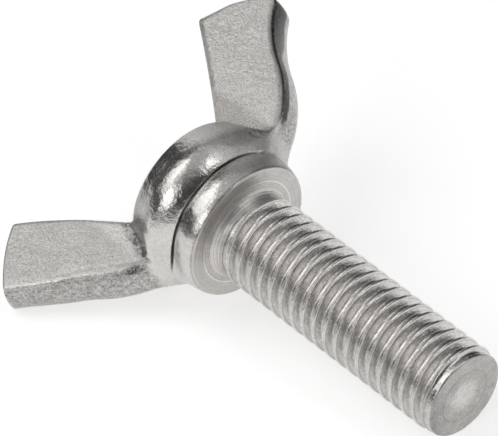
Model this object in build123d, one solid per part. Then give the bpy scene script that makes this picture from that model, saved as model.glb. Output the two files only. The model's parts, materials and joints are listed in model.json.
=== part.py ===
from build123d import *
import os
from math import sqrt

# A wing screw, M8 x 25, cold forged in one piece and then thread rolled.
# Head frame, in millimetres: the bearing face of the collar is at z = 0, the
# screw's axis is Z, the head is above and the thread below, and the two wings
# spread along X. laid_down() then turns the screw to how it comes to rest:
# on its hub, the end of its thread and one wing, with the thread towards +X.

# Thread
thread_diameter = 8.0
screw_length = 25.0                # from the bearing face to the end
blank_diameter = 7.15              # the rolled blank, which shows under the collar
plain_length = 1.2                 # blank left bare under the bearing face
runout_length = 0.35               # where the thread's crest grows out of the blank
neck_fillet = 0.9                  # between the blank and the bearing face
point_chamfer = 0.5
dish_diameter = 4.8                # hollow that rolling draws into the end
dish_depth = 0.2
seam_turn = -2                     # degrees round the axis from the wings to the shank's seam

# Collar
collar_face_diameter = 11.8
collar_diameter = 12.3
collar_height = 2.3

# Hub
hub_shoulder_diameter = 14.1       # where the tapered flank meets the rounded skirt
hub_shoulder_height = 4.5
hub_top_diameter = 12.2
hub_height = 7.1                   # the floor between the wings
hub_top_bevel = 0.35

# Fold between the hub's skirt and the collar, which closes at the wings
fold_width = 0.25
fold_depth = 0.7

# Wings
wing_span = 33.0
wing_height = 16.3                 # top of the wings above the bearing face
wing_thickness = 3.7
wing_edge = 0.5                    # rounding along the edges of the broad faces
wing_sink = 0.2                    # how deep the valley's floor lies in the hub
inner_tip_reach = 11.5             # half the distance between the wings at their top
inner_tip_round = 0.6
inner_edge_crown = 0.1             # how far the inner edge bows into the valley
valley_half_width = 4.6            # where the inner edges would meet the floor
valley_round = 3.0
outer_tip_height = 12.3            # middle of the round outer corner
outer_tip_round = 0.7
outer_tip_rise = 38                # degrees of the corner above its middle
outer_tip_fall = 50                # and below it
waist_reach = 11.85                # where the under edge turns from hollow to bowed
waist_height = 7.0
root_reach = 7.3                   # where it turns hollow again, down to the collar
root_height = 3.05

# Search for the resting angles
halvings = 16


def turned(*edges):
    """The body that a closed half-profile, in the XZ plane, turns about the screw's axis."""
    return revolve(Plane.XZ * make_face(edges), Axis.Z, 360)


def shank():
    """The blank with its neck fillet, the thread's outer cylinder and the dished, chamfered end."""
    thread_radius = thread_diameter / 2
    blank_radius = blank_diameter / 2
    inside = collar_height / 2
    dish_edge = Vector(dish_diameter / 2, -screw_length)
    face_edge = Vector(thread_radius - point_chamfer, -screw_length)
    thread_end = Vector(thread_radius, -screw_length + point_chamfer)
    thread_start = Vector(thread_radius, -plain_length - runout_length)
    blank_end = Vector(blank_radius, -plain_length)
    neck_low = Vector(blank_radius, -neck_fillet)
    neck_high = Vector(blank_radius + neck_fillet, 0)
    hollow = Vector(0, -screw_length + dish_depth)
    return Rot(0, 0, seam_turn) * turned(
        Polyline(
            (0, inside), hollow, dish_edge, face_edge,
            thread_end, thread_start, blank_end, neck_low,
        ),
        RadiusArc(neck_low, neck_high, neck_fillet),
        Polyline(neck_high, (neck_high.X, inside), (0, inside)),
    )


def collar():
    """The bearing collar, with its flat face and rounded rim."""
    face_edge = Vector(collar_face_diameter / 2, 0)
    rim = Vector(collar_diameter / 2, collar_height / 2)
    top_edge = Vector(collar_face_diameter / 2, collar_height)
    return turned(
        Line((0, 0), face_edge),
        ThreePointArc(face_edge, rim, top_edge),
        Polyline(top_edge, (0, collar_height), (0, 0)),
    )


def hub():
    """The tapered boss, whose rounded skirt turns in to the collar."""
    skirt_edge = Vector(collar_face_diameter / 2, collar_height)
    shoulder = Vector(hub_shoulder_diameter / 2, hub_shoulder_height)
    top = Vector(hub_top_diameter / 2, hub_height)
    body = turned(
        TangentArc(shoulder, skirt_edge, tangent=shoulder - top),
        Polyline(skirt_edge, (0, skirt_edge.Y), (0, top.Y), top, shoulder),
    )
    rim = body.edges().filter_by(GeomType.CIRCLE).group_by(Axis.Z)[-1]
    return chamfer(rim, hub_top_bevel)


def fold():
    """The thin crescents that part the skirt from the collar between the wings."""
    closed = collar_diameter / 2
    ring = Circle(hub_shoulder_diameter / 2) - Ellipse(closed, closed - fold_depth)
    return Pos(0, 0, collar_height - fold_width / 2) * extrude(ring, fold_width)


def wing_outline():
    """The right wing's outline in the XZ plane, run in to the axis inside the hub."""
    floor = hub_height - wing_sink
    foot = Vector(sqrt((collar_diameter**2 - wing_thickness**2) / 4), collar_height / 2)
    valley = Vector(valley_half_width, floor)
    inner_tip = Vector(inner_tip_reach, wing_height)
    outer_corner = CenterArc(
        (wing_span / 2 - outer_tip_round, outer_tip_height),
        outer_tip_round, -outer_tip_fall, outer_tip_fall + outer_tip_rise,
    )
    hollow = TangentArc(outer_corner @ 0, (waist_reach, waist_height), tangent=-(outer_corner % 0))
    bowed = TangentArc(hollow @ 1, (root_reach, root_height), tangent=hollow % 1)
    way_up = inner_tip - valley
    bow = Vector(-way_up.Y, way_up.X).normalized() * inner_edge_crown
    outline = make_face([
        Line((0, floor), valley),
        ThreePointArc(valley, (valley + inner_tip) / 2 + bow, inner_tip),
        TangentArc(outer_corner @ 1, inner_tip, tangent=outer_corner % 1),
        outer_corner,
        hollow,
        bowed,
        TangentArc(bowed @ 1, foot, tangent=bowed % 1),
        Polyline(foot, (0, foot.Y), (0, floor)),
    ])
    top_corner = outline.vertices().sort_by_distance((inner_tip.X, inner_tip.Y))[0]
    outline = fillet(top_corner, inner_tip_round)
    valley_corner = outline.vertices().sort_by_distance((valley.X, valley.Y))[0]
    return fillet(valley_corner, valley_round)


def wing():
    """The right wing: its outline made thick, with the broad faces' edges rounded."""
    plate = extrude(Plane.XZ * wing_outline(), wing_thickness / 2, both=True)
    outlines = plate.faces().filter_by(Axis.Y).edges()
    outside = outlines.filter_by(lambda edge: edge.center().X > valley_half_width / 2)
    return fillet(outside, wing_edge)


def wing_screw():
    """The whole forging in the head frame."""
    boss = hub() + collar() - fold()
    right = wing()
    return boss + right + mirror(right, Plane.YZ) + shank()


def posed(pitch, roll):
    """The turn that lays the screw down with one wing raised by roll."""
    return Rot(0, pitch - 90, 0) * Rot(0, 0, 90 - roll)


def even_angle(clearance):
    """The angle from 0 to 90 degrees at which clearance(angle) has fallen to nothing."""
    low, high = 0.0, 90.0
    for _ in range(halvings):
        middle = (low + high) / 2
        if clearance(middle) > 0:
            low = middle
        else:
            high = middle
    return middle


def laid_down(screw):
    """The screw as it comes to rest, with its bounding box standing on the origin."""
    boss, thread, lower_wing = hub(), shank(), mirror(wing(), Plane.YZ)

    def bottom(body, pitch, roll):
        return (posed(pitch, roll) * body).bounding_box().min.Z

    pitch = even_angle(lambda p: bottom(thread, p, 0) - bottom(boss, p, 0))
    roll = even_angle(lambda r: bottom(lower_wing, pitch, r) - bottom(boss, pitch, r))
    screw = posed(pitch, roll) * screw
    box = screw.bounding_box()
    return Pos(-box.center().X, -box.center().Y, -box.min.Z) * screw


os.makedirs("parts", exist_ok=True)
export_step(laid_down(wing_screw()), "parts/wing_screw.step")
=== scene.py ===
import json
from math import acos, atan2, cos, pi, radians, sin, tau

import bpy
import numpy as np
from mathutils import Matrix, Vector


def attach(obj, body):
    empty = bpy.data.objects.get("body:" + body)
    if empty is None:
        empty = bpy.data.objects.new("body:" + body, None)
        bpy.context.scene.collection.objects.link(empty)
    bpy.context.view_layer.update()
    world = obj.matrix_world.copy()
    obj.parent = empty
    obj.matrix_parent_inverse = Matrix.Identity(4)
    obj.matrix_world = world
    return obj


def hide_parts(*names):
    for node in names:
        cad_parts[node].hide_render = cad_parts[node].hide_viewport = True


# A wing screw, M8 x 25, of cold forged stainless steel, lying on its hub, one
# wing and the end of its thread. Its pieces are worked out in the head frame,
# in millimetres: the bearing face is at z = 0, the thread runs down -z, the
# wings spread along x, and the broad face at -y is the one that lies upwards.

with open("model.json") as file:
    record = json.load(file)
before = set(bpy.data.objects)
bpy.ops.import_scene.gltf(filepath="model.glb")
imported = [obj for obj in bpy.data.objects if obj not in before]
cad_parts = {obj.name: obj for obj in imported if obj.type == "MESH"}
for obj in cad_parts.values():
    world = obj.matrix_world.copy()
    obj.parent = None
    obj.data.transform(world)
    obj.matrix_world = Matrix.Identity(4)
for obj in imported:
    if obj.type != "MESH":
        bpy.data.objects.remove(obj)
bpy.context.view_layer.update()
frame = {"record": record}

MM = 0.001

# How it lies
wing_roll = radians(23.38)         # how far the upper wing is raised from level

# Thread
pitch = 1.25
shank_length = 25.0
crest_radius = 3.94
root_radius = 3.32
root_round = 0.15
crest_flat = 0.11                  # half the width of the crest
flank_slope = 1.732                # how steeply the thread's flanks fall, 60 degrees apart
seam_half_width = 0.06             # the fine groove that rolling leaves along the crest
seam_depth = 0.05
first_crest = 2.4                  # this and crest_lag below the bearing face, the first
crest_lag = 0.2                    # full crest passes the upper wing's side
thread_start = (1.05, 1.6)         # where the thread grows out of the blank
thread_runout = (0.95, 0.35)       # where it runs out, above the end
blank_radius = 3.575
neck_fillet = 0.9
neck_overlap = 0.008               # how far the shank's mesh stands out from the head's neck
stub_radius = 3.46
stub_depth = 1.0                   # where the head's stub of blank is drawn in, inside the shank
end_radius = 3.72
end_chamfer = 0.12
point_length = 0.5                 # the chamfered point, which the thread's mount leaves out
dish_radius = 2.35
dish_depth = 0.12

# Collar
collar_face_radius = 5.9
collar_radius = 6.15
collar_height = 2.3
rim_lean = radians(24)             # how far outward the rim starts, below the collar's top

# Hub
shoulder_radius = 7.05
shoulder_height = 4.5
hub_top_radius = 6.1
hub_height = 7.1
hub_taper = (shoulder_radius - hub_top_radius) / (hub_height - shoulder_height)
flank_reach = shoulder_radius + hub_taper * shoulder_height    # the flank's radius, run down to z = 0
skirt_lean = radians(5)            # how far inward the skirt starts, below the shoulder
core_height = 1                    # where the hub's bodies end, inside the collar

# Wings, whose forging dies left one a little different from the other
upper_wing = {
    "valley half width": 3.75, "inner tip": (11.25, 17.1), "corner": (15.95, 12.6), "corner round": 0.8,
    "corner fall": 56, "waist": (12.75, 7.9), "root": (7.25, 3.1), "foot height": 1.15, "inner bow": -0.1,
}
lower_wing = {
    "valley half width": 4.6, "inner tip": (11.4, 16.4), "corner": (15.8, 12.3), "corner round": 0.7,
    "corner fall": 50, "waist": (11.85, 7.0), "root": (7.3, 3.05), "foot height": 1.95, "inner bow": 0.25,
}
wing_thickness = 3.7
tip_thickness = 3.45
valley_floor = 6.95
valley_round = 3.0
inner_tip_round = 0.6
corner_rise = radians(38)
crown_middle = 0.5                 # the bowed edges' highest line, off the middle of the wing
tip_crown = 0.25                   # how far the near ridge lies behind that line
upper_inner_crown = 0.45
lower_inner_crown = 0.3
upper_under_crown = 0.4
lower_under_crown = 1.25
lower_crown_loss = 0.35            # how much less the lower one's under edge is bowed near its tip
lower_fullness = 0.3               # how far that edge stands out, halfway along
lower_tip_margin = 0.05            # how far it lies past lower_waist_line near its tip, where it is straight
lower_tip_skew = 0.16              # how much higher the far side's corner is, for each mm of thickness
past_faces = 0.4                   # how fast the edges' field grows past the broad faces
ridge_round = 0.13                 # along the broad faces' edges
shoulder_round = 0.28

# Bevels along the near ridges: inset from the edge, and depth from the broad face
upper_inner_bevel = (0.35, 0.35)
upper_under_bevel = (0.25, 0.35)
lower_under_bevel = (0.3, 0.35)

# Lines along the wings, as if both were the right one: a place on each, and its direction, in x and z
wing_line = ((6, 5), (0.652, 0.758))
inner_line = ((4.6, 6.95), (0.594, 0.805))
upper_inner_line = ((3.8, 6.95), (0.594, 0.805))
lower_waist_line = (lower_wing["waist"], (0.679, 0.735))
under_side = (0.5, 2)              # how far beside wing_line the under edge's own form takes over
bevel_start = (-0.3, 1.5)          # how far along it the under edge's bevel grows

# Fillets, about as wide as they are given
flank_fillet = (0.15, 1.05)        # from hub to broad face: on the flank, and on the skirt below
skirt_fillet = 0.4                 # from skirt to wing edge
upper_root_fillet = 0.8            # how much wider that one grows at each root
lower_root_fillet = 1.4
collar_fillet = 0.12               # from head to collar
root_fillet = 0.4                  # how much wider that one grows under the wings

# Fold between the hub's skirt and the collar
fold_height = 2.3
fold_half_width = 0.1
fold_depth = 0.65
upper_fold_end = (radians(24), radians(50))    # how far round from each wing it opens
lower_fold_end = (radians(-1), radians(20))

# The shank's mesh
mesh_start = 0.9                   # where it starts, round the head's neck
start_closing = 6.5                # how steeply it closes in there, and at the end
end_closing = 4
spare_turns = 1.1
row_gather = 0.55                  # how strongly its rows gather at the crests
rows_a_turn = 30
segments = 112
weld = 0.001


# ---------------------------------------------------------------- head frame

def head_to_row(roll):
    """The matrix from the head frame, in millimetres, to the row frame, in metres."""
    mounts = {mount["name"]: mount for mount in frame["record"]["mounts"]}
    down = Vector(mounts["thread"]["axis"]).normalized()
    middle = Vector(mounts["thread"]["pos_m"])
    half = mounts["thread"]["dims"]["length_mm"] / 2
    seat = middle - down * (shank_length - point_length - half) * MM
    across = Vector((0, 1, 0))
    upright = down.cross(across)
    wing = across * cos(roll) + upright * sin(roll)
    turn = Matrix((wing, (-down).cross(wing), -down)).transposed().to_4x4()
    return Matrix.Translation(seat) @ turn @ Matrix.Scale(MM, 4)


HEAD = head_to_row(wing_roll)


# ---------------------------------------------------------------- outlines

def turned(vector, angle):
    """A 2D vector turned anticlockwise."""
    c, s = cos(angle), sin(angle)
    return np.array((c * vector[0] - s * vector[1], s * vector[0] + c * vector[1]))


def bend(start, heading, end, steps=24):
    """Points on the arc that leaves start along heading and reaches end, and its heading there."""
    straight_enough = 1e-4
    start, end = np.array(start, float), np.array(end, float)
    heading = np.array(heading, float) / np.hypot(*heading)
    chord = end - start
    swing = atan2(heading[0] * chord[1] - heading[1] * chord[0], heading @ chord)
    if abs(swing) < straight_enough:
        return [start, end], heading
    scale = np.hypot(*chord) / sin(swing)
    ts = np.linspace(0, 1, steps + 1)
    points = [start + scale * sin(swing * t) * turned(heading, swing * t) for t in ts]
    return points, turned(heading, 2 * swing)


def rounded(before, corner, after, radius):
    """The arc that rounds a corner between two straight runs."""
    before, corner, after = (np.array(p, float) for p in (before, corner, after))
    back = (before - corner) / np.hypot(*(before - corner))
    on = (after - corner) / np.hypot(*(after - corner))
    opening = acos(np.clip(back @ on, -1, 1))
    reach = radius / np.tan(opening / 2)
    return bend(corner + back * reach, -back, corner + on * reach)[0]


def wing_outline(wing):
    """A wing's closed outline in x and z, as if it were the right one, run in to the axis."""
    corner_points = 16
    near_tip = -4                      # the place on the top edge that the inner tip's rounding heads for
    foot_sink = 0.4                    # how deep the under edge ends in the collar
    valley = (wing["valley half width"], valley_floor)
    drop = radians(wing["corner fall"])
    corner = [np.array(wing["corner"]) + wing["corner round"] * np.array((cos(a), sin(a)))
              for a in np.linspace(corner_rise, -drop, corner_points)]
    top, heading = bend(corner[0], (-sin(corner_rise), cos(corner_rise)), wing["inner tip"])
    hollow, heading = bend(corner[-1], (-sin(drop), -cos(drop)), wing["waist"])
    bowed, heading = bend(wing["waist"], heading, wing["root"])
    foot, heading = bend(wing["root"], heading, (collar_radius - foot_sink, wing["foot height"]))
    tip = rounded(valley, wing["inner tip"], top[near_tip], inner_tip_round)
    hub_end = rounded((0, valley_floor), valley, wing["inner tip"], valley_round)
    run = tip[0] - hub_end[-1]
    swing = 4 * wing["inner bow"] / np.hypot(*run)
    inner, heading = bend(hub_end[-1], turned(run, swing), tip[0])
    return [
        (0, valley_floor), *hub_end, *inner[1:-1], *tip, *top[near_tip::-1], *corner[1:], *hollow[1:],
        *bowed[1:], *foot[1:], (0, wing["foot height"]),
    ]


def flank_profile():
    """The half-profile, in r and z, of the cone that the hub's flank lies on, run on at both ends."""
    above = 1
    wide = shoulder_radius + hub_taper * (shoulder_height - core_height)
    narrow = hub_top_radius - hub_taper * above
    top = hub_height + above
    return [(0, core_height), (0, top), (narrow, top), (wide, core_height)]


def skirt_profile():
    """The half-profile of the skirt under the hub's shoulder, run up past the flank to the hub's top."""
    clear_of_flank = 0.8
    run_up = 0.5
    core_inset = 0.4
    skirt = (collar_face_radius, collar_height)
    shoulder = np.array((shoulder_radius, shoulder_height))
    down = np.array((-sin(skirt_lean), -cos(skirt_lean)))
    return [
        (0, core_height), (0, hub_height), (hub_top_radius + clear_of_flank, hub_height),
        shoulder - run_up * down, *bend(shoulder, down, skirt)[0],
        (collar_face_radius - core_inset, core_height),
    ]


def collar_profile():
    """The half-profile of the collar, its bearing face, the neck and a drawn-in stub of the blank."""
    step_width, step_depth = 0.08, 0.05    # round the neck's fillet, in the bearing face
    rim_low = (collar_face_radius, 0)
    rim_high = (collar_face_radius, collar_height)
    rim = bend(rim_high, (sin(rim_lean), -cos(rim_lean)), rim_low)[0]
    neck_edge = blank_radius + neck_fillet
    neck = bend((neck_edge, -step_depth), (-1, 0), (blank_radius, -neck_fillet))[0]
    stub_end = -stub_depth - 0.2
    return [
        (0, collar_height), *rim, (neck_edge + step_width, 0), *neck,
        (stub_radius, -stub_depth), (stub_radius + 0.03, -stub_depth - 0.12),
        (blank_radius - 0.02, stub_end), (0, stub_end),
    ]


# ---------------------------------------------------------------- distance fields

class Field:
    """The signed distance to a closed outline, tabled on a fine grid and read between its nodes."""

    step = 0.05
    margin = 1.5
    shortest_run = 1e-6

    def __init__(self, outline):
        points = np.array(outline, float)
        self.low = points.min(0) - self.margin
        high = points.max(0) + self.margin
        a, b = (np.arange(lo, hi, self.step) for lo, hi in zip(self.low, high))
        grid_a, grid_b = np.meshgrid(a, b, indexing="ij")
        nearest = np.full(grid_a.shape, np.inf)
        inside = np.zeros(grid_a.shape, bool)
        for start, end in zip(points, np.roll(points, -1, 0)):
            run = end - start
            length2 = run @ run
            if length2 < self.shortest_run**2:
                continue
            off_a, off_b = grid_a - start[0], grid_b - start[1]
            t = np.clip((off_a * run[0] + off_b * run[1]) / length2, 0, 1)
            nearest = np.minimum(nearest, (off_a - t * run[0])**2 + (off_b - t * run[1])**2)
            if run[1]:
                crosses = (start[1] > grid_b) != (end[1] > grid_b)
                inside ^= crosses & (off_a < off_b * run[0] / run[1])
        self.table = np.sqrt(nearest) * np.where(inside, -1, 1)

    def __call__(self, a, b):
        rows, columns = self.table.shape
        u = np.clip((a - self.low[0]) / self.step, 0, rows - 1.001)
        v = np.clip((b - self.low[1]) / self.step, 0, columns - 1.001)
        i, j = u.astype(int), v.astype(int)
        u, v = u - i, v - j
        t = self.table
        near = t[i, j] * (1 - v) + t[i, j + 1] * v
        far = t[i + 1, j] * (1 - v) + t[i + 1, j + 1] * v
        return near * (1 - u) + far * u


def ramp(value, start, end):
    """A smooth rise from 0 to 1 as value goes from start to end."""
    t = np.clip((value - start) / (end - start), 0, 1)
    return t * t * (3 - 2 * t)


def fall(value, start, end):
    """A smooth fall from 1 to 0 as value goes from start to end."""
    return ramp(-value, -end, -start)


def beside(x, z, line):
    """How far a point lies to the right of a line, given as a place and a direction."""
    place, way = line
    return (x - place[0]) * way[1] - (z - place[1]) * way[0]


def along(x, z, line):
    """How far a point lies along such a line."""
    place, way = line
    return (x - place[0]) * way[0] + (z - place[1]) * way[1]


def rounded_meet(a, b, radius):
    """What two bodies share, with its edge rounded."""
    a, b = a + radius, b + radius
    corner = np.hypot(np.maximum(a, 0), np.maximum(b, 0))
    return corner + np.minimum(np.maximum(a, b), 0) - radius


def blended(a, b, width):
    """The union of two bodies, with a fillet about as wide as width."""
    overlap = np.maximum(width - np.abs(a - b), 0)
    return np.minimum(a, b) - overlap**2 / (4 * width)


def bevel(y, half, shape):
    """How far a bevel along the near face's ridge sets the edge back."""
    inset, depth = shape
    return inset * np.clip((depth - half - y) / depth, 0, 1)**1.5


def head_field():
    """The signed distance to the whole forged head, as a function of head-frame points."""
    upper_flat = Field(wing_outline(upper_wing))
    lower_flat = Field(wing_outline(lower_wing))
    flank_flat = Field(flank_profile())
    skirt_flat = Field(skirt_profile())
    collar_flat = Field(collar_profile())

    def wing_trim(x, y, z, half):
        """The field of the wings' edges, bowed across their thickness and bevelled along the near ridges."""
        side = np.abs(x)
        upper = x > 0
        skew = np.where(upper, 0, lower_tip_skew)
        height = z - skew * y * ramp(side, 10, 15.5)
        flat = np.where(upper, upper_flat(side, height), lower_flat(side, height))
        sideways = beside(side, z, wing_line)
        outward = along(side, z, wing_line)
        below_line = ramp(sideways, *under_side)
        under = below_line * fall(outward, 12.1, 12.8)
        inner = fall(beside(side, z, inner_line), 0, 3) * (1 - under)
        fuller = lower_fullness * ramp(outward, 5, 8) * fall(outward, 11, 12.5)
        flat = flat - np.where(upper, 0, fuller) * below_line
        bow = ((y - crown_middle) / (half + crown_middle))**2
        inner_crown = np.where(upper, upper_inner_crown, lower_inner_crown)
        crown = tip_crown + (inner_crown - tip_crown) * inner
        straight = beside(side, height, lower_waist_line) - lower_tip_margin
        below = flat + (straight - flat) * ramp(outward, 9, 11) * ~upper
        lower_crown = lower_under_crown - lower_crown_loss * ramp(outward, 2, 12)
        crown_below = np.where(upper, upper_under_crown, lower_crown)
        level = np.where(upper, crown + (crown_below - crown) * under, crown)
        low_level = tip_crown + (crown_below - tip_crown) * below_line
        bevelled = ramp(outward, *bevel_start)
        inner_bevel = bevel(y, half, upper_inner_bevel) * inner
        upper_bevel = bevel(y, half, upper_under_bevel) * under * bevelled
        lower_bevel = bevel(y, half, lower_under_bevel) * bevelled
        edge = flat + level * bow + np.where(upper, inner_bevel + upper_bevel, 0)
        low_edge = below + low_level * bow + lower_bevel
        edge = np.where(upper | (sideways < under_side[0]), edge, np.maximum(edge, low_edge))
        return edge + past_faces * np.maximum(np.abs(y) - half, 0)**2

    def distance(x, y, z):
        radius = np.hypot(x, y)
        half = (wing_thickness + (tip_thickness - wing_thickness) * ramp(np.abs(x), 8, 16)) / 2
        on_flank, on_skirt = flank_fillet
        fillet = on_flank + (on_skirt - on_flank) * fall(z, 3.7, 4.7)
        faces = blended(flank_flat(radius, z), np.abs(y) - half, fillet)
        edge = wing_trim(x, y, z, half)
        wider = np.where(x > 0, upper_root_fillet, lower_root_fillet)
        trims = blended(skirt_flat(radius, z), edge, skirt_fillet + wider * fall(z, 3, 5))
        ridge = ridge_round + (shoulder_round - ridge_round) * fall(radius, 7.2, 7.8)
        head = rounded_meet(faces, trims, ridge)
        root = ramp(np.abs(x), 5.2, 6.2) * fall(np.abs(y), 1.6, 2.4)
        head = blended(head, collar_flat(radius, z), collar_fillet + root_fillet * root)
        around = np.abs(np.arctan2(np.abs(y), x))
        opening = ramp(around, *upper_fold_end) * ramp(pi - around, *lower_fold_end)
        half_width = fold_half_width * (0.5 + 0.5 * opening)
        slot = np.maximum(np.abs(z - fold_height) - half_width, -head - fold_depth * opening)
        return np.maximum(head, -slot)

    return distance


# ---------------------------------------------------------------- meshing

def grid_line(*stretches):
    """Grid places along one axis, from (start, end, step) stretches that follow on."""
    places = [np.linspace(start, end, max(1, round((end - start) / step)), endpoint=False)
              for start, end, step in stretches]
    return np.concatenate([*places, [stretches[-1][1]]])


def surface_net(distance, xs, ys, zs):
    """Vertices, one in each crossed cell, and outward quads of the surface where distance is nought."""
    values = distance(*np.meshgrid(xs, ys, zs, indexing="ij"))
    solid = values < 0
    lines = (xs, ys, zs)
    cells = tuple(n - 1 for n in values.shape)
    total = np.zeros(cells + (3,))
    count = np.zeros(cells)
    edges = []
    for axis in range(3):
        first = [slice(None)] * 3
        second = [slice(None)] * 3
        first[axis], second[axis] = slice(None, -1), slice(1, None)
        first, second = tuple(first), tuple(second)
        crossed = np.argwhere(solid[first] != solid[second])
        one = values[first][tuple(crossed.T)]
        two = values[second][tuple(crossed.T)]
        t = one / (one - two)
        places = [lines[k][crossed[:, k]] for k in range(3)]
        step = np.diff(lines[axis])[crossed[:, axis]]
        places[axis] = places[axis] + t * step
        place = np.stack(places, 1)
        edges.append((axis, crossed, one < 0))
        other = [k for k in range(3) if k != axis]
        for shift_a in (0, 1):
            for shift_b in (0, 1):
                cell = crossed.copy()
                cell[:, other[0]] -= shift_a
                cell[:, other[1]] -= shift_b
                kept = ((cell >= 0) & (cell < cells)).all(1)
                index = tuple(cell[kept].T)
                np.add.at(total, index, place[kept])
                np.add.at(count, index, 1)
    used = count > 0
    number = np.full(cells, -1)
    number[used] = np.arange(used.sum())
    vertices = total[used] / count[used][:, None]
    quads = []
    for axis, crossed, leaving in edges:
        a, b = [k for k in range(3) if k != axis]
        corners = []
        for shift_a, shift_b in ((0, 0), (1, 0), (1, 1), (0, 1)):
            cell = crossed.copy()
            cell[:, a] -= shift_a
            cell[:, b] -= shift_b
            corners.append(number[tuple(cell.T)])
        quad = np.stack(corners, 1)
        flip = leaving if axis == 1 else ~leaving
        quad[flip] = quad[flip][:, ::-1]
        quads.append(quad)
    return vertices, np.concatenate(quads)


def settled(vertices, quads, distance, rounds=3):
    """The vertices evened out along the surface and set on it again."""
    starts = quads.ravel()
    ends = np.roll(quads, -1, 1).ravel()
    for _ in range(rounds):
        total = np.zeros_like(vertices)
        count = np.zeros(len(vertices))
        for a, b in ((starts, ends), (ends, starts)):
            np.add.at(total, a, vertices[b])
            np.add.at(count, a, 1)
        vertices = 0.5 * vertices + 0.5 * total / count[:, None]
        for _ in range(2):
            vertices = dropped(vertices, distance)
    return vertices


def dropped(vertices, distance, reach=0.01):
    """The vertices moved along the field's slope onto the surface."""
    least_steepness = 0.25
    longest_move = 0.1
    slope = np.stack([
        distance(*(vertices + reach * axis).T) - distance(*(vertices - reach * axis).T)
        for axis in np.eye(3)
    ], 1) / (2 * reach)
    steepness = np.maximum((slope**2).sum(1), least_steepness)
    move = np.clip(distance(*vertices.T) / steepness, -longest_move, longest_move)
    return vertices - slope * move[:, None]


def placed(name, data):
    """A new object in the scene, at the origin."""
    thing = bpy.data.objects.new(name, data)
    bpy.context.scene.collection.objects.link(thing)
    return thing


def mesh_object(name, vertices, faces, material):
    """A smooth object in the row frame, from head-frame vertices."""
    mesh = bpy.data.meshes.new(name)
    mesh.from_pydata(vertices.tolist(), [], faces.tolist())
    mesh.transform(HEAD)
    mesh.shade_smooth()
    mesh.materials.append(material)
    return placed(name, mesh)


# ---------------------------------------------------------------- nodes

class Number:
    """A number's socket, on which Python's operators add Math nodes."""

    def __init__(self, nodes, socket):
        self.nodes = nodes
        self.socket = socket

    def math(self, operation, *others):
        inputs = {0: self}
        for index, other in enumerate(others):
            inputs[index + 1] = other
        return self.nodes.number("ShaderNodeMath", {"operation": operation}, inputs)

    def __add__(self, other):
        return self.math("ADD", other)

    def __sub__(self, other):
        return self.math("SUBTRACT", other)

    def __mul__(self, other):
        return self.math("MULTIPLY", other)

    def __truediv__(self, other):
        return self.math("DIVIDE", other)

    def __radd__(self, other):
        return self.math("ADD", other)

    def __rsub__(self, other):
        return self.nodes.number("ShaderNodeMath", {"operation": "SUBTRACT"}, {0: other, 1: self})

    def __rmul__(self, other):
        return self.math("MULTIPLY", other)

    def __neg__(self):
        return self.math("MULTIPLY", -1)

    def clamp(self, low, high):
        return self.math("MAXIMUM", low).math("MINIMUM", high)

    def ramp(self, start, end):
        """A smooth rise from 0 to 1 as the number goes from start to end."""
        settings = {"interpolation_type": "SMOOTHSTEP"}
        inputs = {"Value": self, "From Min": start, "From Max": end}
        return self.nodes.number("ShaderNodeMapRange", settings, inputs)

    def fall(self, start, end):
        """A smooth fall from 1 to 0 as the number goes from start to end."""
        return 1 - self.ramp(start, end)

    def near(self, place, full, gone):
        """1 where the number is within full of place, falling to 0 as it is gone from there."""
        return (self - place).math("ABSOLUTE").fall(full, gone)


class Nodes:
    """Adds nodes to one tree."""

    def __init__(self, tree):
        self.tree = tree

    def add(self, kind, settings=None, inputs=None):
        """A node of this kind, with its settings made first and then its sockets filled or linked."""
        node = self.tree.nodes.new(kind)
        for name, value in (settings or {}).items():
            setattr(node, name, value)
        for key, value in (inputs or {}).items():
            socket = node.inputs[key]
            source = getattr(value, "socket", value)
            if isinstance(source, bpy.types.NodeSocket):
                self.tree.links.new(source, socket)
            else:
                socket.default_value = value
        return node

    def number(self, kind, settings=None, inputs=None, output=0):
        """A node's output as a Number."""
        return Number(self, self.add(kind, settings, inputs).outputs[output])

    def mix_colour(self, factor, first, second):
        """The socket of a colour that goes from first to second as factor goes from 0 to 1."""
        node = self.add("ShaderNodeMix", {"data_type": "RGBA"}, {0: factor, 6: first, 7: second})
        return node.outputs[2]


# ---------------------------------------------------------------- steel

def grey(level, warmth):
    """A grey that leans to red by warmth."""
    return (level + warmth, level, level - warmth, 1)


def head_coordinates(nodes):
    """The shaded point in the head frame, in millimetres, as a vector and three numbers."""
    place = nodes.add("ShaderNodeTexCoord").outputs["Object"]
    back = HEAD.inverted()
    rows = []
    for index in range(3):
        row = back[index]
        dot = nodes.number("ShaderNodeVectorMath", {"operation": "DOT_PRODUCT"},
                           {0: place, 1: tuple(row[:3])}, "Value")
        rows.append(dot + row[3])
    vector = nodes.add("ShaderNodeCombineXYZ", inputs=dict(enumerate(rows))).outputs[0]
    return vector, rows


def noise(nodes, vector, scale, detail=3.0, roughness=0.5):
    """Noise from 0 to 1, with features about 1 / scale millimetres wide."""
    inputs = {"Vector": vector, "Scale": scale, "Detail": detail, "Roughness": roughness}
    return nodes.number("ShaderNodeTexNoise", inputs=inputs)


def new_material(name):
    """An empty material, and the adder of its nodes."""
    material = bpy.data.materials.new(name)
    material.use_nodes = True
    material.node_tree.nodes.clear()
    return material, Nodes(material.node_tree)


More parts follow.
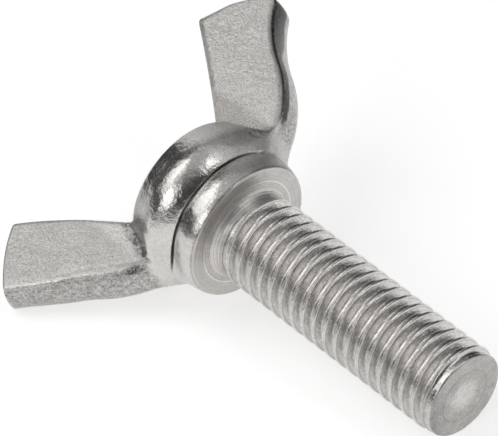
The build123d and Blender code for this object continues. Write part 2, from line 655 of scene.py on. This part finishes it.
def steel_surface(nodes, level, rough, height):
    """Joins up bare metal whose grey, roughness and relief in millimetres are given."""
    dark, light = grey(0.05, 0.002), grey(0.8, 0.026)
    colour = nodes.mix_colour((level * 0.8 + 0.2).clamp(0, 1), dark, light)
    bump = nodes.add("ShaderNodeBump", inputs={"Strength": 1.0, "Distance": MM, "Height": height})
    surface = nodes.add("ShaderNodeBsdfPrincipled", inputs={
        "Base Color": colour, "Metallic": 1.0, "Roughness": rough, "Normal": bump.outputs[0],
    })
    nodes.add("ShaderNodeOutputMaterial", inputs={"Surface": surface.outputs[0]})


def patch(nodes, vector, middle, reach):
    """1 at a spot on the head, falling to 0 at reach millimetres off along each axis."""
    off = nodes.add("ShaderNodeVectorMath", {"operation": "SUBTRACT"}, {0: vector, 1: middle}).outputs[0]
    scaled = nodes.add("ShaderNodeVectorMath", {"operation": "DIVIDE"}, {0: off, 1: reach}).outputs[0]
    length = nodes.number("ShaderNodeVectorMath", {"operation": "LENGTH"}, {0: scaled}, "Value")
    return 1 - length.ramp(0.5, 1.0)


def turning_lines(nodes, radius, z, scale):
    """Fine lines round the axis, from -0.5 to 0.5."""
    polar = nodes.add("ShaderNodeCombineXYZ", inputs={0: radius, 1: z}).outputs[0]
    return noise(nodes, polar, scale, 3.0, 0.7) - 0.5


def forged_steel():
    """Tumbled forged stainless, matt on the broad faces, brighter on the hub, with painted shade, mottled
    like scale, in the corners and along some edges, and a painted highlight round the neck.
    """
    material, nodes = new_material("forged_steel")
    vector, (x, y, z) = head_coordinates(nodes)
    radius = (x * x + y * y).math("SQRT")
    thick = y.math("ABSOLUTE")
    speck = noise(nodes, vector, 7.0, 2.0, 0.9) - 0.5
    pits = noise(nodes, vector, 3.0, 4.0, 0.6) - 0.5
    clouds = noise(nodes, vector, 0.6, 2.0) - 0.5
    waves = noise(nodes, vector, 0.8, 3.0)

    # The wings: their broad faces, the trimmed edges, and painted shade along the upper one's inner edge
    beyond_flank = radius + z * hub_taper - flank_reach
    broad = thick.ramp(1.5, 1.7) * thick.fall(1.9, 2.1) * beyond_flank.ramp(-0.2, 0.0)
    wing = radius.ramp(7.2, 8.0)
    lower = (-x).ramp(6.0, 8.0)
    trimmed = wing * thick.fall(1.2, 1.5)
    # painted shade along the upper wing's inner edge
    inner = wing * (1 - broad) * beside(x, z, upper_inner_line).fall(0.2, 0.8) * x.ramp(3.4, 4.4)

    # The turned bearing face, with a painted highlight on the step round the neck and a painted dark line
    # along its rim
    seat = (0.12 - z).ramp(0.0, 0.06) * (collar_face_radius + 0.1 - radius).ramp(0.0, 0.15)
    neck = seat * (4.75 - radius).ramp(0.0, 0.2)
    lines = turning_lines(nodes, radius, z, 6.5) * seat
    step = seat * radius.near(4.66, 0.03, 0.1)
    rim = z.near(0.14, 0.05, 0.12) * radius.ramp(5.6, 5.8)

    # The hub, duller towards the upper wing, with painted shade on its flank towards the lower one
    dull = x.ramp(1.0, 4.0) * (1 - wing) * (1 - seat)
    shaded = patch(nodes, vector, (-5.0, -4.4, 5.9), (2.6, 2.6, 2.2))
    shaded = shaded * (z - shoulder_height).ramp(-0.1, 0.1) * (1 - broad)

    # Painted shade in the corners at the wings' roots, mottled like scale, and a painted dark band along the
    # upper wing's under edge near its root
    notch = broad * (-x).ramp(5.0, 5.5) * beyond_flank.fall(0.2, 1.0)
    lower_root = patch(nodes, vector, (-8.5, -1.35, 4.4), (2.2, 0.4, 0.9))
    upper_root = patch(nodes, vector, (6.0, -2.9, 3.9), (1.6, 1.6, 0.8))
    corners = (notch + lower_root + upper_root).math("MINIMUM", 1)
    # painted shade, mottled like scale, in the corners where the wings meet the hub
    scale = corners * (pits * 6 + speck * 6 + 0.4).clamp(0, 1)
    outward = along(x, z, wing_line)
    # a painted dark band along the upper wing's under edge, fading out along it
    shade_free = (y - outward.ramp(7.0, 9.5) * 1.2).ramp(-0.9, -0.5)
    under_edge_shade = (1 - shade_free) * (1 - broad) * wing
    under_edge_shade = under_edge_shade * beside(x, z, wing_line).ramp(1.9, 2.2) * outward.ramp(0.0, 2.0)

    # The grey: tone and grain, less the painted shades and plus the painted highlight worked out above
    level = 0.64 + clouds * 0.2 + speck * (0.6 + broad * 0.9 + dull * 0.6) + pits * 0.3
    level = level + (speck + pits) * trimmed * 0.9 + lines * (0.6 + neck * 1.2) + step * 0.25 + neck * 0.08
    level = level - seat * 0.05 - broad * lower * 0.12 - scale * 0.8 - trimmed * 0.34 - inner * 0.8
    level = level - under_edge_shade * (0.75 + speck * 3) - shaded * 0.35 - rim * (0.3 + speck * 2)
    rough = 0.2 + wing * 0.08 + broad * 0.1 + seat * 0.2 + dull * 0.28 + speck * 0.12 + scale * 0.15
    height = speck * (0.015 + broad * 0.03 + dull * 0.02) + pits * (0.02 + wing * 0.03 + corners * 0.15)
    height = height + waves * (0.1 - wing * 0.05) + lines * (0.03 + neck * 0.03)
    steel_surface(nodes, level, rough, height)
    return material


def rolled_steel():
    """Bright rolled thread, with painted highlights on its crests, painted shade beside them and on its
    lower side, and a duller end with a fine ring round its dish, a groove with painted shade.
    """
    material, nodes = new_material("rolled_steel")
    vector, (x, y, z) = head_coordinates(nodes)
    radius = (x * x + y * y).math("SQRT")
    speck = noise(nodes, vector, 8.0, 3.0, 0.8) - 0.5
    pits = noise(nodes, vector, 3.0, 4.0, 0.6) - 0.5
    clouds = noise(nodes, vector, 1.2, 3.0) - 0.5
    end = (-z).ramp(shank_length - 0.12, shank_length - 0.05)
    lines = turning_lines(nodes, radius, z, 6.0)
    # the fine ring round the dish: a groove in the relief, with painted shade in it
    ring = end * radius.near(dish_radius, 0.03, 0.12)
    # painted shade on the thread's lower side
    side_shade = (x * -0.95 - y * 0.3).ramp(1.5, 3.6)
    # painted highlights on the crests, and painted shade in lines beside them
    crest = radius.ramp(crest_radius - 0.07, crest_radius - 0.02) * (1 - end)
    crest_shade = radius.near(crest_radius - 0.13, 0.02, 0.07) * (1 - end)
    level = 0.68 + clouds * 0.4 + speck * 1.3 + pits * 0.3 + lines * end * 0.2 - end * 0.3 - ring * 0.1
    level = level - side_shade * 0.2 + crest * 0.15 - crest_shade * (0.18 + speck * 2)
    rough = 0.17 + speck * 0.15 + end * 0.2
    height = speck * 0.02 + pits * 0.03 + clouds * 0.03 + lines * end * 0.02 - ring * 0.02
    steel_surface(nodes, level, rough, height)
    return material


# ---------------------------------------------------------------- winged head

def winged_head():
    """The forged head with its collar and neck, meshed most finely at its ridges, seat and fold."""
    distance = head_field()
    fine, wide = 0.12, 0.2
    xs = grid_line((-16.9, -7.5, wide), (-7.5, 7.5, 0.17), (7.5, 16.9, wide))
    ys = grid_line((-7.6, -2.2, 0.18), (-2.2, -1.0, fine), (-1.0, 1.0, 0.25),
                   (1.0, 2.2, fine), (2.2, 7.6, 0.18))
    zs = grid_line((-1.4, -0.24, fine), (-0.24, 0.24, 0.06), (0.24, 1.92, 0.14), (1.92, 2.7, 0.05),
                   (2.7, 7.5, 0.15), (7.5, 17.0, wide))
    vertices, quads = surface_net(distance, xs, ys, zs)
    vertices = settled(vertices, quads, distance)
    return mesh_object("winged_head", vertices, quads, forged_steel())


# ---------------------------------------------------------------- threaded shank

def thread_tree():
    """Wraps a grid round the screw's axis along the helix, and shapes it to the thread and its end."""
    tree = bpy.data.node_groups.new("rolled_thread", "GeometryNodeTree")
    tree.interface.new_socket("Geometry", in_out="OUTPUT", socket_type="NodeSocketGeometry")
    sizes = ("Pitch", "First Crest", "Crest Radius", "Root Radius", "Crest Flat", "Blank Radius", "Length",
             "End Radius", "Dish Radius", "Dish Depth")
    counts = ("Segments", "Rows", "Rows a Turn")
    for name in sizes:
        tree.interface.new_socket(name, in_out="INPUT", socket_type="NodeSocketFloat")
    for name in counts:
        tree.interface.new_socket(name, in_out="INPUT", socket_type="NodeSocketInt")
    tree.interface.new_socket("Material", in_out="INPUT", socket_type="NodeSocketMaterial")
    nodes = Nodes(tree)
    given = nodes.add("NodeGroupInput").outputs
    size = {name: Number(nodes, given[name]) for name in sizes + counts}
    grid = nodes.add("GeometryNodeMeshGrid", inputs={
        "Size X": 1.0, "Size Y": 1.0, "Vertices X": size["Segments"] + 1, "Vertices Y": size["Rows"] + 1,
    })
    place = nodes.add("GeometryNodeInputPosition").outputs[0]
    split = nodes.add("ShaderNodeSeparateXYZ", inputs={0: place}).outputs
    around = Number(nodes, split[0]) + 0.5

    # How far down the screw each row lies: rows gather at the crests, and those past either end close it
    rows_down = (Number(nodes, split[1]) + 0.5) * size["Rows"]
    even = rows_down / size["Rows a Turn"] - size["First Crest"] / size["Pitch"]
    gathered = even - (even * tau).math("SINE") * (row_gather / tau)
    wanted = (gathered - around) * size["Pitch"] + size["First Crest"] + crest_lag
    depth = wanted.clamp(mesh_start, size["Length"])
    over = (wanted - size["Length"]).math("MAXIMUM", 0)
    under = (mesh_start - wanted).math("MAXIMUM", 0)

    # The thread's own form: crest, flanks and rounded root, with the seam along the crest
    past_crest = (depth - size["First Crest"] - crest_lag) / size["Pitch"]
    turns = (past_crest + around + 0.5).math("FLOORED_MODULO", 1)
    from_crest = (turns - 0.5).math("ABSOLUTE") * size["Pitch"]
    down_flank = (from_crest - size["Crest Flat"]).math("MAXIMUM", 0) * flank_slope
    thread = nodes.number("ShaderNodeMath", {"operation": "SMOOTH_MAX"},
                          {0: size["Crest Radius"] - down_flank, 1: size["Root Radius"], 2: root_round})
    seam = (1 - from_crest / seam_half_width).math("MAXIMUM", 0) * seam_depth
    thread = thread - seam

    # Where it grows out of the blank, and where it runs out into the chamfered end with its dish
    starting = depth.ramp(*thread_start)
    ending = depth.ramp(size["Length"] - thread_runout[0], size["Length"] - thread_runout[1])
    radius = size["Blank Radius"] + neck_overlap + (thread - size["Blank Radius"]) * starting
    radius = radius + (size["End Radius"] - radius) * ending
    corner = size["End Radius"] - end_chamfer + (size["Length"] - depth)
    radius = radius.math("MINIMUM", corner)
    radius = (radius - over * end_closing - under * start_closing).math("MAXIMUM", 0)
    hollow = (1 - (radius / size["Dish Radius"]).math("POWER", 2)).math("MAXIMUM", 0)
    sunk = hollow * size["Dish Depth"] * over.math("GREATER_THAN", 0)
    angle = around * tau
    spot = nodes.add("ShaderNodeCombineXYZ", inputs={
        0: radius * angle.math("COSINE"), 1: radius * angle.math("SINE"), 2: sunk - depth,
    })
    shaped = nodes.add("GeometryNodeSetPosition", inputs={
        "Geometry": grid.outputs[0], "Position": spot.outputs[0],
    })
    joined = nodes.add("GeometryNodeMergeByDistance", inputs={0: shaped.outputs[0], "Distance": weld})
    outward = nodes.add("GeometryNodeFlipFaces", inputs={0: joined.outputs[0]})
    smooth = nodes.add("GeometryNodeSetShadeSmooth", inputs={0: outward.outputs[0]})
    real = nodes.add("GeometryNodeRealizeInstances", inputs={0: smooth.outputs[0]})
    finished = nodes.add("GeometryNodeSetMaterial", inputs={
        0: real.outputs[0], "Material": given["Material"],
    })
    nodes.add("NodeGroupOutput", inputs={0: finished.outputs[0]})
    return tree


def threaded_shank():
    """The rolled thread with its dished end, as a plain mesh."""
    turns = (shank_length + end_radius / end_closing) / pitch + spare_turns
    inputs = {
        "Pitch": pitch, "First Crest": first_crest, "Crest Radius": crest_radius, "Root Radius": root_radius,
        "Crest Flat": crest_flat, "Blank Radius": blank_radius, "Length": shank_length,
        "End Radius": end_radius, "Dish Radius": dish_radius, "Dish Depth": dish_depth,
        "Segments": segments, "Rows": round(turns * rows_a_turn), "Rows a Turn": rows_a_turn,
        "Material": rolled_steel(),
    }
    blank = placed("blank", bpy.data.meshes.new("blank"))
    rolling = blank.modifiers.new("rolling", "NODES")
    rolling.node_group = thread_tree()
    for item in rolling.node_group.interface.items_tree:
        if item.in_out == "INPUT":
            rolling[item.identifier] = inputs[item.name]
    bpy.context.view_layer.update()
    evaluated = blank.evaluated_get(bpy.context.evaluated_depsgraph_get())
    mesh = bpy.data.meshes.new_from_object(evaluated)
    bpy.data.objects.remove(blank)
    mesh.transform(HEAD)
    return placed("threaded_shank", mesh)


# ---------------------------------------------------------------- studio

lamp_distance = 0.5


def backdrop_light(nodes):
    """1 on rays that see the backdrop itself, in the camera, in gloss or through glass."""
    path = nodes.add("ShaderNodeLightPath").outputs
    seen = [Number(nodes, path[name]) for name in ("Is Camera Ray", "Is Glossy Ray", "Is Transmission Ray")]
    return seen[0].math("MAXIMUM", seen[1]).math("MAXIMUM", seen[2])


def floor():
    """A wide sheet of pale paper, whose glow fades outwards."""
    half = 3.0
    near_glow, glow_loss = 0.58, 0.55
    material, nodes = new_material("paper")
    place = nodes.add("ShaderNodeTexCoord").outputs["Object"]
    away = nodes.number("ShaderNodeVectorMath", {"operation": "LENGTH"}, {0: place}, "Value")
    glow = backdrop_light(nodes) * (near_glow - away.ramp(0.08, 0.25) * glow_loss)
    surface = nodes.add("ShaderNodeBsdfPrincipled", inputs={
        "Base Color": (0.7, 0.7, 0.7, 1), "Roughness": 0.9, "Emission Color": (1, 1, 1, 1),
        "Emission Strength": glow,
    })
    nodes.add("ShaderNodeOutputMaterial", inputs={"Surface": surface.outputs[0]})
    mesh = bpy.data.meshes.new("floor")
    corners = [(-half, -half, 0), (half, -half, 0), (half, half, 0), (-half, half, 0)]
    mesh.from_pydata(corners, [], [(0, 1, 2, 3)])
    mesh.materials.append(material)
    placed("floor", mesh)


def sky():
    """A dim horizon that brightens overhead."""
    world = bpy.data.worlds.new("sky")
    bpy.context.scene.world = world
    world.use_nodes = True
    world.node_tree.nodes.clear()
    nodes = Nodes(world.node_tree)
    place = nodes.add("ShaderNodeTexCoord").outputs["Generated"]
    height = Number(nodes, nodes.add("ShaderNodeSeparateXYZ", inputs={0: place}).outputs[2])
    level = 0.06 + height.ramp(0.6, 1.0) * 0.5
    background = nodes.add("ShaderNodeBackground", inputs={"Color": (1, 1, 1, 1), "Strength": level})
    nodes.add("ShaderNodeOutputWorld", inputs={0: background.outputs[0]})


def lamp(name, direction, size, brightness):
    """A square soft box that faces the origin, as bright as that many white backdrops."""
    light = bpy.data.lights.new(name, "AREA")
    light.size = size
    light.energy = brightness * pi * size**2
    box = placed(name, light)
    towards = Vector(direction).normalized()
    box.location = towards * lamp_distance
    box.rotation_euler = towards.to_track_quat("Z", "Y").to_euler()


def camera():
    """A long lens on the thread's side, which looks down on the wings' broad faces."""
    place = Vector((232.455, -182.582, 250.531)) * MM
    right = Vector((0.665186, 0.741206, -0.090231))
    up = Vector((-0.424064, 0.474477, 0.771389))
    back = Vector((0.614571, -0.474853, 0.629934))
    lens = bpy.data.cameras.new("camera")
    lens.lens = 348.58
    lens.sensor_width = 36
    lens.clip_start = 0.01
    eye = placed("camera", lens)
    turn = Matrix((right, up, back)).transposed().to_4x4()
    eye.matrix_world = Matrix.Translation(place) @ turn
    bpy.context.scene.camera = eye


# ---------------------------------------------------------------- the scene

camera()
floor()
sky()
lamp("overhead", (-0.45, -0.45, 0.77), 0.4, 1.45)
lamp("right", (0.6, 0.27, 0.75), 0.18, 3.0)
lamp("front", (0.12, -0.84, 0.5), 0.26, 2.3)
lamp("back right", (0.75, 0.6, 0.22), 0.26, 1.2)
lamp("behind", (-0.8, 0.5, 0.33), 0.25, 1.0)
bpy.context.scene.view_settings.view_transform = "Standard"

for piece in (winged_head(), threaded_shank()):
    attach(piece, "root")
    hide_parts("wing_screw")
